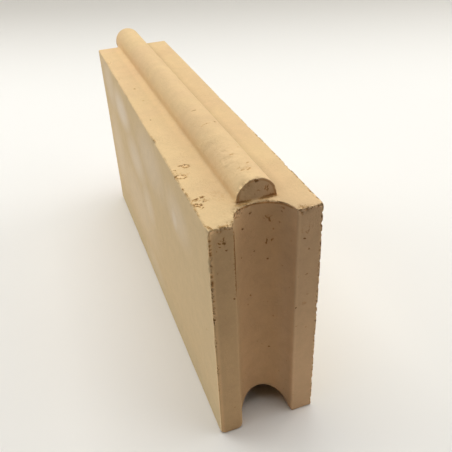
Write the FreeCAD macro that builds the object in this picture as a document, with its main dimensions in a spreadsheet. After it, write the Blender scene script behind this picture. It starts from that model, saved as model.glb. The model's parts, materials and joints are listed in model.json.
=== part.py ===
import FreeCAD, Part
import Sketcher
import math
import os

# Refractory firebrick with half-round tongue-and-groove joints, pressed and fired as one piece.
# It stands on a long narrow edge. X crosses its thickness, Y runs along its length, Z is up.
# The near end, at low Y, and the underside have a groove each. The top and the far end have a
# tongue each, so that like bricks interlock in courses and from end to end.
# The brick is drawn from the middle of the near end's foot, and its placement then puts the
# origin under the middle of the overall box.

# The block itself, in millimetres.
BLOCK = {
    "brick_length": 250.0,
    "brick_height": 124.0,
    "brick_thickness": 50.0,
    "arris_radius": 1.0,
}

# The tongue's section: two low flanks carry a half-round crest.
TONGUE = {
    "tongue_radius": 9.0,
    "tongue_flank": 1.0,
    "root_radius": 0.8,
}

# Mortar room between a tongue and the groove it enters, the rounding of the groove's lips, and
# the bare strip of shoulder between a tongue's end and the groove beside it.
JOINT = {
    "side_room": 4.25,
    "depth_room": 2.0,
    "lip_radius": 1.0,
    "shoulder_strip": 1.5,
}

# Sizes that follow from the ones above. The root fillet stays within the flank that it climbs.
WORKED_OUT = {
    "tongue_height": "=tongue_radius + tongue_flank",
    "root_fillet": "=min(root_radius; 0.8 * tongue_flank)",
    "groove_radius": "=tongue_radius + side_room",
    "groove_depth": "=tongue_height + depth_room",
    "groove_centre_out": "=groove_radius - groove_depth",
    "tongue_setback": "=groove_depth + shoulder_strip",
    "overall_length": "=brick_length + tongue_height",
}

# How a sketch numbers a curve's start, end and centre, and its own two axes and root point.
START, END, CENTRE = 1, 2, 3
X_AXIS, Y_AXIS = -1, -2
ROOT_POINT = (-1, 1)

# Points closer together than this, in millimetres, are one point.
TOUCHING = 0.001


def write_sheet(doc):
    """Puts every size into the spreadsheet, one alias a cell."""
    cells = doc.addObject("Spreadsheet::Sheet", "sizes")
    rows = {**BLOCK, **TONGUE, **JOINT, **WORKED_OUT}
    for row, (alias, value) in enumerate(rows.items(), start=1):
        cells.set(f"A{row}", alias)
        cells.set(f"B{row}", str(value))
        cells.setAlias(f"B{row}", alias)
    doc.recompute()
    return cells


def new_sketch(body, name, role, offset=None):
    """Adds a sketch on one of the body's origin planes, moved along its normal by an expression."""
    sketch = body.newObject("Sketcher::SketchObject", name)
    plane = next(item for item in body.Origin.OriginFeatures if item.Role == role)
    sketch.AttachmentSupport = [(plane, "")]
    sketch.MapMode = "FlatFace"
    if offset:
        sketch.setExpression("AttachmentOffset.Base.z", offset)
    return sketch


def add_line(sketch, start, end):
    """Draws a line between two points of the sketch."""
    return sketch.addGeometry(Part.LineSegment(FreeCAD.Vector(*start, 0), FreeCAD.Vector(*end, 0)))


def add_arc(sketch, centre, radius, from_angle, to_angle):
    """Draws an arc that runs anticlockwise between two angles in radians."""
    circle = Part.Circle(FreeCAD.Vector(*centre, 0), FreeCAD.Vector(0, 0, 1), radius)
    return sketch.addGeometry(Part.ArcOfCircle(circle, from_angle, to_angle))


def rule(sketch, *words):
    """Adds a constraint that has no size."""
    sketch.addConstraint(Sketcher.Constraint(*words))


def size(sketch, name, expression, *words):
    """Adds a driving constraint and ties it to the sheet."""
    index = sketch.addConstraint(Sketcher.Constraint(*words))
    sketch.renameConstraint(index, name)
    sketch.setExpression(f"Constraints.{name}", expression)


def draw_end_section(sketch, cells):
    """The block's end: a rectangle that stands on the axis, its middle over the root point."""
    half = cells.brick_thickness / 2
    top = cells.brick_height
    foot = add_line(sketch, (-half, 0), (half, 0))
    right = add_line(sketch, (half, 0), (half, top))
    head = add_line(sketch, (half, top), (-half, top))
    left = add_line(sketch, (-half, top), (-half, 0))
    for one, other in ((foot, right), (right, head), (head, left), (left, foot)):
        rule(sketch, "Coincident", one, END, other, START)
    rule(sketch, "Horizontal", head)
    for upright in (right, left):
        rule(sketch, "Vertical", upright)
    rule(sketch, "PointOnObject", foot, START, X_AXIS)
    rule(sketch, "Symmetric", foot, START, foot, END, Y_AXIS)
    size(sketch, "across", "sizes.brick_thickness", "DistanceX", foot, START, foot, END, 2 * half)
    size(sketch, "up", "sizes.brick_height", "DistanceY", right, START, right, END, top)


def draw_tongue_section(sketch, cells, shoulder):
    """A half-round crest on two flanks. Its foot is sunk past the arris, and shoulder names the
    size at which the block's face lies."""
    radius = cells.tongue_radius
    face = cells.get(shoulder)
    foot_level = face - cells.arris_radius
    crest_level = face + cells.tongue_flank
    foot = add_line(sketch, (-radius, foot_level), (radius, foot_level))
    right = add_line(sketch, (radius, foot_level), (radius, crest_level))
    crest = add_arc(sketch, (0, crest_level), radius, 0, math.pi)
    left = add_line(sketch, (-radius, crest_level), (-radius, foot_level))
    rule(sketch, "Coincident", foot, END, right, START)
    rule(sketch, "Tangent", right, END, crest, START)
    rule(sketch, "Tangent", crest, END, left, START)
    rule(sketch, "Coincident", left, END, foot, START)
    rule(sketch, "Horizontal", foot)
    rule(sketch, "Vertical", right)
    rule(sketch, "Vertical", left)
    rule(sketch, "PointOnObject", crest, CENTRE, Y_AXIS)
    size(sketch, "crest", "sizes.tongue_radius", "Radius", crest, radius)
    size(sketch, "crest_level", f"sizes.{shoulder} + sizes.tongue_flank",
         "DistanceY", *ROOT_POINT, crest, CENTRE, crest_level)
    size(sketch, "foot_level", f"sizes.{shoulder} - sizes.arris_radius",
         "DistanceY", *ROOT_POINT, foot, START, foot_level)


def draw_groove_section(sketch, cells):
    """A round bottom that meets the face in two rounded lips. The lips touch both the face, which
    is the sketch's X axis, and the round bottom, whose centre lies outside the face."""
    bottom_radius = cells.groove_radius
    lip = cells.lip_radius
    out = cells.groove_centre_out
    rise = lip + out
    reach = math.sqrt((bottom_radius + lip) ** 2 - rise ** 2)
    lean = math.atan2(rise, reach)
    mouth = add_line(sketch, (-reach, 0), (reach, 0))
    bottom = add_arc(sketch, (0, -out), bottom_radius, lean, math.pi - lean)
    right_lip = add_arc(sketch, (reach, lip), lip, math.pi + lean, 1.5 * math.pi)
    left_lip = add_arc(sketch, (-reach, lip), lip, 1.5 * math.pi, 2 * math.pi - lean)
    rule(sketch, "Tangent", mouth, END, right_lip, END)
    rule(sketch, "Tangent", right_lip, START, bottom, START)
    rule(sketch, "Tangent", bottom, END, left_lip, END)
    rule(sketch, "Tangent", left_lip, START, mouth, START)
    rule(sketch, "PointOnObject", mouth, START, X_AXIS)
    rule(sketch, "Horizontal", mouth)
    rule(sketch, "PointOnObject", bottom, CENTRE, Y_AXIS)
    size(sketch, "bottom", "sizes.groove_radius", "Radius", bottom, bottom_radius)
    size(sketch, "right_lip", "sizes.lip_radius", "Radius", right_lip, lip)
    size(sketch, "left_lip", "sizes.lip_radius", "Radius", left_lip, lip)
    size(sketch, "depth", "sizes.groove_centre_out", "DistanceY", bottom, CENTRE, *ROOT_POINT, out)


def root_edges(shape, cells):
    """Names the edges where the tongues' flanks stand on the block: along the top, round the far
    arris and down the far end."""
    names = []
    for index, edge in enumerate(shape.Edges, start=1):
        ends = [vertex.Point for vertex in edge.Vertexes]
        on_flank = all(abs(abs(end.x) - cells.tongue_radius) < TOUCHING for end in ends)
        below_crest = all(
            end.z < cells.brick_height + TOUCHING and end.y < cells.brick_length + TOUCHING for end in ends)
        across = abs(ends[0].x - ends[-1].x) > TOUCHING
        if on_flank and below_crest and not across:
            names.append(f"Edge{index}")
    return names


def extrude(body, kind, name, sketch, length=None, reverse=False):
    """Pads or pockets a sketch by an expression, or right through the body without one."""
    feature = body.newObject(f"PartDesign::{kind}", name)
    feature.Profile = sketch
    feature.Reversed = reverse
    if length:
        feature.setExpression("Length", length)
    else:
        feature.Type = "ThroughAll"
    return feature


def round_over(body, name, base, edges, radius):
    """Rounds the named edges, or all of them where edges is None."""
    fillet = body.newObject("PartDesign::Fillet", name)
    fillet.Base = (base, edges or ["Edge1"])
    fillet.UseAllEdges = edges is None
    fillet.setExpression("Radius", radius)
    return fillet


def make_firebrick(doc, cells):
    """The brick as it is pressed: the block with its arrises, its two tongues and two grooves."""
    body = doc.addObject("PartDesign::Body", "firebrick")
    body.Label = "firebrick"

    end_section = new_sketch(body, "end_section", "XZ_Plane")
    draw_end_section(end_section, cells)
    block = extrude(body, "Pad", "block", end_section, "sizes.brick_length", reverse=True)
    doc.recompute()
    round_over(body, "arrises", block, None, "sizes.arris_radius")

    top_section = new_sketch(body, "top_tongue_section", "XZ_Plane", "-sizes.tongue_setback")
    draw_tongue_section(top_section, cells, "brick_height")
    extrude(body, "Pad", "top_tongue", top_section,
            "sizes.overall_length - sizes.tongue_setback", reverse=True)

    far_section = new_sketch(body, "far_tongue_section", "XY_Plane", "sizes.tongue_setback")
    draw_tongue_section(far_section, cells, "brick_length")
    far_tongue = extrude(body, "Pad", "far_tongue", far_section,
                         "sizes.brick_height - sizes.tongue_setback")
    doc.recompute()
    round_over(body, "tongue_roots", far_tongue, root_edges(far_tongue.Shape, cells), "sizes.root_fillet")

    under_section = new_sketch(body, "under_groove_section", "XZ_Plane")
    draw_groove_section(under_section, cells)
    extrude(body, "Pocket", "under_groove", under_section)

    near_section = new_sketch(body, "near_groove_section", "XY_Plane")
    draw_groove_section(near_section, cells)
    extrude(body, "Pocket", "near_groove", near_section, reverse=True)

    body.setExpression("Placement.Base.y", "-sizes.overall_length / 2")
    doc.recompute()
    return body


def section_area(radius, level):
    """Area of the part of a circle that lies more than level from its centre."""
    half_angle = math.acos(level / radius)
    return radius ** 2 * half_angle - level * math.sqrt(radius ** 2 - level ** 2)


def check(doc, body, cells):
    """Stops if a feature failed, or if a groove or a tongue changed the volume by too little."""
    for item in doc.Objects:
        faults = {"Invalid", "Error"} & set(item.State)
        if faults:
            raise RuntimeError(f"{item.Name} is {sorted(faults)}")
    shape = body.Shape
    if shape.isNull() or not shape.isValid() or len(shape.Solids) != 1:
        raise RuntimeError("the brick is not one valid solid")
    block = cells.brick_length * cells.brick_height * cells.brick_thickness
    tongue = math.pi * cells.tongue_radius ** 2 / 2 + 2 * cells.tongue_radius * cells.tongue_flank
    groove = section_area(cells.groove_radius, cells.groove_centre_out)
    added = tongue * (cells.brick_length + cells.brick_height - 2 * cells.tongue_setback)
    removed = groove * (cells.brick_length + cells.brick_height)
    expected = block + added - removed
    print(f"volume {shape.Volume:.0f} cubic mm, {expected:.0f} worked out from the sections")
    if abs(shape.Volume / expected - 1) > 0.01:
        raise RuntimeError("a groove or a tongue is missing")
    box = shape.BoundBox
    print(f"box {box.XLength:.2f} x {box.YLength:.2f} x {box.ZLength:.2f} mm")
    print(f"from ({box.XMin:.2f}, {box.YMin:.2f}, {box.ZMin:.2f}) mm")


document = FreeCAD.newDocument("firebrick_model")
sheet = write_sheet(document)
firebrick = make_firebrick(document, sheet)
check(document, firebrick, sheet)
os.makedirs("parts", exist_ok=True)
firebrick.Shape.exportStep(f"parts/{firebrick.Label}.step")
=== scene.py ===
# %% [markdown]
# # A tongue and groove firebrick
#
# The real brick is one block of fireclay, pressed in a die and fired. A half-round tongue runs
# along its top and down its far end, and a wider groove runs along its underside and up its near
# end, so that each brick keys into its neighbours on all four narrow sides.
#
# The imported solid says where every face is. This script gives the brick the skin that a fired one
# has: edges that crumble, faces that are not quite flat, pits, pores and a sandy grain.

# %% Load the frame
import json
import math

import bmesh
import bpy
import numpy as np
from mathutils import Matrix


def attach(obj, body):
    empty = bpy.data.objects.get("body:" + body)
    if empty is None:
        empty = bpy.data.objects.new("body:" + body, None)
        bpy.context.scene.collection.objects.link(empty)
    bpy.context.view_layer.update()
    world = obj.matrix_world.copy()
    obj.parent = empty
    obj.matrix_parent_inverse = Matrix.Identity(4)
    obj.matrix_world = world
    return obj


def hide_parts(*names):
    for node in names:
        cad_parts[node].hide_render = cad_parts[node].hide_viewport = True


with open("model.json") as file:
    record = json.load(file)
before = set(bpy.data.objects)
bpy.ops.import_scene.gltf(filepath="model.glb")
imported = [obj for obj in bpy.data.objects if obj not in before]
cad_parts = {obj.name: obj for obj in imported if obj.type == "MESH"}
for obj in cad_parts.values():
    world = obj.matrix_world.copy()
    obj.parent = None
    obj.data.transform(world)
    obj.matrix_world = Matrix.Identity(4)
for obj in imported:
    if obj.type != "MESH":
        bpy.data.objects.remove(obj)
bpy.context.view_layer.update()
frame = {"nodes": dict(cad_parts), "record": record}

print("nodes in the frame:", sorted(frame["nodes"]))

# %% [markdown]
# ## Sizes
#
# A brickmaker thinks in millimetres, so the shape is worked out in millimetres and turned into
# metres when it becomes a mesh. The faces come from the places of the brick's mounts. The few
# sizes that no mount gives are the ones of the die: how much wider the groove is than the tongue,
# and how far its edges are rounded.

# %% Sizes in millimetres
PER_METRE = 1000.0


def mount_place(name):
    """The place of one of the brick's mounts, in millimetres."""
    [mount] = [m for m in frame["record"]["mounts"] if m["name"] == name]
    return np.array(mount["pos_m"]) * PER_METRE


half = mount_place("right_face")[0]
near = mount_place("near_end_face")[1]
far = mount_place("far_end_face")[1]
tip = mount_place("far_tongue")[1]
shoulder = mount_place("top_shoulder")[2]
crest = mount_place("top_tongue")[2]
groove_depth = mount_place("under_groove")[2]

tongue_flank = 1.0
tongue_radius = crest - shoulder - tongue_flank
groove_radius = tongue_radius + 4.25
groove_centre_out = groove_radius - groove_depth
setback = groove_depth + 1.5
arris_radius = 1.0
lip_radius = 1.0
root_radius = 1.6

stop_y = near + setback
stop_z = setback
print(f"block {2 * half:.0f} x {far - near:.0f} x {shoulder:.0f} mm, tongue radius {tongue_radius:.1f}")

# %% [markdown]
# ## The two sections
#
# Cut across, the brick shows a groove on two sides and a tongue on the other two. Both sections
# are described with the same number of columns from the left face to the right, so that one can
# change into the other along the skin: column 20 is in the groove on the underside and on the
# tongue on the top. Columns lie closer together near the edges, where the wear is. The arris is the
# brickmaker's word for the block's own edge, and it is slightly rounded.

# %% Sections from the left face to the right
ARRIS_STEPS = 4
LAND_STEPS = 10
LAND_CROWDING = 1.5
LIP_STEPS = 3
ROUND_STEPS = 16


def mirrored(right_half, sign):
    """A half section, given from the face to the middle, and its mirror image on the left."""
    return np.concatenate([sign * right_half, right_half[-2::-1]])


def land(start, end):
    """Columns across the flat land between an edge and a curve: start + (end - start) * share^1.5."""
    share = (np.arange(1, LAND_STEPS) / LAND_STEPS) ** LAND_CROWDING
    return start + (end - start) * share


def arris_section():
    """A quarter circle from the side face: x = half - r(1 - cos a), inset = r(1 - sin a)."""
    angle = np.linspace(0, np.pi / 2, ARRIS_STEPS + 1)
    return half - arris_radius * (1 - np.cos(angle)), arris_radius * (1 - np.sin(angle))


def groove_section():
    """The land, a rounded lip that turns down to the groove's slope, then the groove's own arc."""
    lean = math.asin((lip_radius + groove_centre_out) / (groove_radius + lip_radius))
    reach = (groove_radius + lip_radius) * math.cos(lean)
    turn = np.linspace(0, np.pi / 2 - lean, LIP_STEPS + 1)
    sweep = np.linspace(lean, np.pi / 2, ROUND_STEPS + 1)[1:]
    edge_x, _ = arris_section()
    flat_x = land(edge_x[-1], reach)
    x = [edge_x, flat_x, reach - lip_radius * np.sin(turn), groove_radius * np.cos(sweep)]
    lip_depth = lip_radius * (1 - np.cos(turn))
    arc_depth = groove_radius * np.sin(sweep) - groove_centre_out
    depth = [0 * edge_x, 0 * flat_x, lip_depth, arc_depth]
    return mirrored(np.concatenate(x), -1), mirrored(np.concatenate(depth), 1)


def tongue_section():
    """The shoulder, a hollow root that rises by the flank, then the tongue's half circle."""
    share = np.linspace(0, 1, LIP_STEPS + 1)
    sweep = np.linspace(0, np.pi / 2, ROUND_STEPS + 1)[1:]
    edge_x, _ = arris_section()
    flat_x = land(edge_x[-1], tongue_radius + root_radius)
    root_x = tongue_radius + root_radius * (1 - share) ** 2
    x = [edge_x, flat_x, root_x, tongue_radius * np.cos(sweep)]
    height = [0 * edge_x, 0 * flat_x, tongue_flank * share ** 2]
    height.append(tongue_flank + tongue_radius * np.sin(sweep))
    return mirrored(np.concatenate(x), -1), mirrored(np.concatenate(height), 1)


groove_x, sunk = groove_section()
tongue_x, raised = tongue_section()
arris_inset = arris_section()[1]
flat = np.zeros(len(groove_x) - 2 * len(arris_inset))
inset = np.concatenate([arris_inset, flat, arris_inset[::-1]])
print("columns across the brick:", len(groove_x))

# %% [markdown]
# ## A belt round the brick
#
# The top, the far end, the underside and the near end are one strip of skin that goes round the
# block like a belt. Each row of the belt is a whole section. A row moves on by a straight stretch,
# or by a bend, which is a curve pulled towards a corner. Because a row is one array, tongue and
# groove columns each take their own way in the same step: at the near end the tongue columns climb
# the tongue's flat end while the shoulder columns beside them just go on. These only have to keep
# pace, so their places there are round distances of a few millimetres.
#
# Extruding and cutting with booleans would give the same solid, but with long thin faces that can
# not carry any wear. A belt of small even faces can. The underside gets as many rows as the top, and
# the near end as many as the far end, so that the opposite sides of a cheek match.

# %% Walk the belt
class Belt:
    """Rows of skin. Each row holds one point for every column, in millimetres."""

    def __init__(self, start):
        self.row = start
        self.stretches = []

    def add(self, rows):
        self.stretches.append(rows)
        self.row = rows[-1]

    def straight(self, end, count, crowd=1.0):
        """row + (end - row) * share^crowd, so that rows crowd at the start, or at the end below 0."""
        share = np.arange(1, count + 1)[:, None, None] / count
        share = share ** crowd if crowd > 0 else 1 - (1 - share) ** -crowd
        self.add(self.row + (end - self.row) * share)

    def bend(self, corner, end, count):
        """(1 - s)^2 row + 2 s (1 - s) corner + s^2 end: a curve that starts and ends in line."""
        s = np.arange(1, count + 1)[:, None, None] / count
        self.add((1 - s) ** 2 * self.row + 2 * s * (1 - s) * corner + s ** 2 * end)

    def rows(self):
        return np.concatenate(self.stretches)


def row_at(x, y, z):
    """A row from its three coordinates, each one number or one number for every column."""
    return np.stack(np.broadcast_arrays(x, y + 0 * x, z + 0 * x), axis=-1)


EDGE_STEPS = 4
RUN_UP_STEPS = 12
STOP_STEPS = 9
RIM_STEPS = 3
LENGTH_STEPS = 225
TIP_STEPS = 8
ROOT_STEPS = 6
HEIGHT_STEPS = 150
UNDER_STEPS = RUN_UP_STEPS + STOP_STEPS + RIM_STEPS + LENGTH_STEPS + TIP_STEPS + RIM_STEPS
NEAR_STEPS = ROOT_STEPS + HEIGHT_STEPS + RIM_STEPS + STOP_STEPS + RUN_UP_STEPS
END_BEND = 0.8
CROWDING = 1.25
ARCH_BEND = 1.2


on_tongue = np.clip(raised / tongue_flank, 0, 1)
bend_reach = arris_radius - inset
arch_reach = bend_reach + ARCH_BEND * np.clip(sunk / lip_radius, 0, 1)
soft = np.minimum(END_BEND, raised / 2)
droop = raised / (tongue_radius + tongue_flank)
top = shoulder - inset
over = top + raised
under = shoulder - arris_radius
near_y = near + sunk + inset
low_z = sunk + inset
far_y = far - inset
out_y = far_y + raised


def either(beside, tongue):
    """One place for the shoulder columns, another for the tongue columns."""
    return beside + (tongue - beside) * on_tongue


def along_the_top(walk):
    """Over the near edge, up the tongue's flat end, and along its crest out past the far end."""
    walk.bend(row_at(groove_x, near_y, top), row_at(groove_x, near_y + bend_reach, top), EDGE_STEPS)
    walk.straight(row_at(tongue_x, stop_y, top), RUN_UP_STEPS)
    climbed = row_at(tongue_x, either(stop_y + 2, stop_y), either(top, over - soft))
    walk.straight(climbed, STOP_STEPS)
    rounded = row_at(tongue_x, either(stop_y + 3, stop_y + soft), over)
    walk.bend(row_at(tongue_x, either(stop_y + 2.5, stop_y), either(top, over)), rounded, RIM_STEPS)
    walk.straight(row_at(tongue_x, far - 4, over), LENGTH_STEPS, CROWDING)
    walk.straight(row_at(tongue_x, either(far - 2, tip - soft), over), TIP_STEPS)
    rounded = row_at(tongue_x, either(far_y - bend_reach, tip), either(top, over - soft))
    walk.bend(row_at(tongue_x, either(far - 1.5, tip), either(top, over)), rounded, RIM_STEPS)


def down_the_far_end(walk):
    """Down the top tongue's end, round the root into the far tongue, and down to where it stops."""
    halfway = (over - soft + under) / 2
    hanging = row_at(tongue_x, either(far_y, tip), either(top - bend_reach, under + 0.6))
    walk.bend(row_at(tongue_x, either(far_y, tip), either(top, halfway)), hanging, TIP_STEPS)
    start_down = row_at(tongue_x, out_y, either(shoulder - 4, under - 1.5 * droop))
    in_the_root = row_at(tongue_x, either(far_y, tip), either(shoulder - 2.5, under))
    walk.bend(in_the_root, start_down, ROOT_STEPS)
    walk.straight(row_at(tongue_x, out_y, either(stop_z + 3, stop_z + soft)), HEIGHT_STEPS)
    rounded = row_at(tongue_x, either(far_y, out_y - soft), either(stop_z + 2, stop_z))
    walk.bend(row_at(tongue_x, out_y, either(stop_z + 2.5, stop_z)), rounded, RIM_STEPS)
    walk.straight(row_at(tongue_x, far_y, stop_z), STOP_STEPS)
    walk.straight(row_at(groove_x, far_y, low_z + bend_reach), RUN_UP_STEPS)


def back_below(walk):
    """Round the foot, back through the groove underneath, and up the near end to the start."""
    walk.bend(row_at(groove_x, far_y, low_z), row_at(groove_x, far_y - bend_reach, low_z), EDGE_STEPS)
    walk.straight(row_at(groove_x, near_y + arch_reach, low_z), UNDER_STEPS, -CROWDING)
    walk.bend(row_at(groove_x, near_y, low_z), row_at(groove_x, near_y, low_z + arch_reach), EDGE_STEPS)
    walk.straight(row_at(groove_x, near_y, top - bend_reach), NEAR_STEPS)


def brick_belt():
    """The closed belt, one row after another."""
    walk = Belt(row_at(groove_x, near_y, top - bend_reach))
    along_the_top(walk)
    down_the_far_end(walk)
    back_below(walk)
    return walk.rows()


belt = brick_belt()
print("belt:", belt.shape[0], "rows of", belt.shape[1], "points")

# %% [markdown]
# ## The two cheeks
#
# The belt leaves the two broad faces open. Each is closed from its edge inwards: rings that follow
# the edge at growing steps, then a strip that drops every second point, then a grid across the
# middle. The wear is all along the edge, so that is where the small faces are, and the middle, which
# is nearly flat, is done with a quarter as many. The middle grid is a Coons patch: the sum of the
# two blends between opposite sides, less the blend of the four corners, which both had counted.

# %% Rings, strip and middle
RING_DEPTHS = [0.0, 0.45, 1.0, 1.7, 2.7, 4.0]
MIDDLE_DEPTH = 5.6


def grid_faces(rows, columns, first, closed):
    """Four-sided faces over a grid of points that is stored row by row from the number first."""
    steps_down = np.arange(rows if closed else rows - 1)
    row, column = np.meshgrid(steps_down, np.arange(columns - 1), indexing="ij")
    here = first + row * columns + column
    below = first + (row + 1) % rows * columns + column
    return np.stack([here, below, below + 1, here + 1], axis=-1).reshape(-1, 4)


def edge_ring(column):
    """The belt's outermost column without the points that meet in a corner, from a corner on."""
    edge = belt[:, column]
    step = np.linalg.norm(edge - np.roll(edge, 1, axis=0), axis=1)
    return np.roll(edge[step > 1e-6], 1, axis=0)


def drawn_in(ring, depth):
    """The ring pulled towards its middle by the same depth on all four sides."""
    low = ring.min(axis=0)
    high = ring.max(axis=0)
    middle = (low + high) / 2
    scale = 1 - depth / np.maximum((high - low) / 2, depth + 1)
    return middle + (ring - middle) * scale


def coons_patch(ring, across, down):
    """A grid inside a ring that starts at a corner, with across steps on two sides and down on two."""
    corners = np.cumsum([0, across, down, across, down])
    closed = np.concatenate([ring, ring[:1]])
    side = [closed[a:b + 1] for a, b in zip(corners[:-1], corners[1:])]
    top, right, bottom, left = side[0], side[1], side[2][::-1], side[3][::-1]
    u = np.linspace(0, 1, across + 1)[:, None, None]
    v = np.linspace(0, 1, down + 1)[None, :, None]
    blend_down = (1 - v) * top[:, None] + v * bottom[:, None]
    blend_across = (1 - u) * left[None] + u * right[None]
    corner_blend = (1 - u) * (1 - v) * top[0] + u * (1 - v) * top[-1]
    corner_blend = corner_blend + (1 - u) * v * bottom[0] + u * v * bottom[-1]
    return blend_down + blend_across - corner_blend


class Skin:
    """Points and faces of all the patches. Patches that share an edge repeat its points for now."""

    def __init__(self):
        self.points = []
        self.faces = []
        self.count = 0

    def patch(self, points, faces):
        self.points.append(points.reshape(-1, 3))
        self.faces.extend((faces + self.count).tolist())
        self.count += len(self.points[-1])


def add_cheek(skin, column):
    """One broad face, closed inwards from the belt's column at its edge."""
    ring = edge_ring(column)
    rings = np.stack([drawn_in(ring, depth) for depth in RING_DEPTHS], axis=1)
    skin.patch(rings, grid_faces(len(ring), len(RING_DEPTHS), 0, True))
    fine = rings[:, -1]
    coarse = drawn_in(ring, MIDDLE_DEPTH)[::2]
    count = len(coarse)
    a = 2 * np.arange(count)
    b = a + 1
    c = (a + 2) % len(fine)
    inner = len(fine) + np.arange(count)
    onward = len(fine) + (np.arange(count) + 1) % count
    strip = np.concatenate([[a, b, inner], [b, onward, inner], [b, c, onward]], axis=1).T
    skin.patch(np.concatenate([fine, coarse]), strip)
    across = UNDER_STEPS // 2
    down = NEAR_STEPS // 2
    skin.patch(coons_patch(coarse, across, down), grid_faces(across + 1, down + 1, 0, False))


skin = Skin()
skin.patch(belt, grid_faces(belt.shape[0], belt.shape[1], 0, True))
add_cheek(skin, 0)
add_cheek(skin, -1)
print("points before welding:", skin.count)

# %% [markdown]
# ## Weld it into one closed skin
#
# The patches still repeat the points along their common edges. Merging the doubles makes one
# closed shell, which is what a solid brick is, and then the normals are made to point outwards.

# %% Weld
WELD_GAP = 2e-6

brick_mesh = bpy.data.meshes.new("firebrick_skin")
brick_mesh.from_pydata(np.concatenate(skin.points) / PER_METRE, [], skin.faces)
shell = bmesh.new()
shell.from_mesh(brick_mesh)
bmesh.ops.remove_doubles(shell, verts=shell.verts, dist=WELD_GAP)
bmesh.ops.dissolve_degenerate(shell, edges=shell.edges, dist=WELD_GAP)
bmesh.ops.recalc_face_normals(shell, faces=shell.faces)
open_edges = sum(not edge.is_manifold for edge in shell.edges)
shell.to_mesh(brick_mesh)
shell.free()
print("points:", len(brick_mesh.vertices), "faces:", len(brick_mesh.polygons), "open:", open_edges)

# %% [markdown]
# ## Wear
#
# Fired clay is brittle. Its edges are dull all along, and in some stretches they have crumbled.
# Both depend on how far a point is from the nearest edge. That distance is the second smallest of
# the point's distances from the faces: the smallest is its own face, at zero, and the next is the
# face beyond the edge. The grooves' rounded lips are no edges, and have stayed whole.
#
# The noise is made by hand, so that the same brick comes out each time: random values on a lattice
# of cubes, blended smoothly from corner to corner.

# %% Noise and distances
LATTICE = 32
TONGUE_STARTS = 0.3


def lumps(points, size, seed):
    """Smooth noise from 0 to 1 with lumps of that size: a blend of the eight corners of a cube."""
    values = np.random.default_rng(seed).random((LATTICE, LATTICE, LATTICE))
    cell = np.floor(points / size).astype(int)
    share = points / size - cell
    share = share * share * (3 - 2 * share)
    total = np.zeros(len(points))
    for corner in np.ndindex(2, 2, 2):
        weight = np.prod(np.where(corner, share, 1 - share), axis=1)
        x, y, z = ((cell + corner) % LATTICE).T
        total += weight * values[x, y, z]
    return total


def step(value, low, high):
    """0 below low, 1 above high, and 3s^2 - 2s^3 between."""
    s = np.clip((value - low) / (high - low), 0, 1)
    return s * s * (3 - 2 * s)


def groove_floor(x):
    """How deep the groove is at x: the height of its circle there, and nothing on the lands."""
    return np.clip(np.sqrt(np.clip(groove_radius ** 2 - x ** 2, 0, None)) - groove_centre_out, 0, None)


def face_distances(points):
    """How far each point is from the side, top, near, far and under faces that are around it.

    The tongues have faces of their own: the round one, and the flat ends where they stop.
    """
    x, y, z = points.T
    floor = groove_floor(x)
    none = np.full(len(points), np.inf)
    above = tongue_radius - np.hypot(x, z - shoulder - tongue_flank)
    beyond = tongue_radius - np.hypot(x, y - far - tongue_flank)
    block = np.array([half - abs(x), shoulder - z, y - near - floor, far - y, z - floor])
    top_tongue = np.array([none, above, y - stop_y, tip - y, none])
    far_tongue = np.array([none, none, none, beyond, z - stop_z])
    found = np.where(z > shoulder + TONGUE_STARTS, top_tongue, block)
    found = np.where((y > far + TONGUE_STARTS) & (z <= shoulder + TONGUE_STARTS), far_tongue, found)
    return np.abs(found)


def edge_distance(points):
    """The distance to the nearest edge: the second smallest of the distances to the faces."""
    return np.sort(face_distances(points), axis=0)[1]
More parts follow.
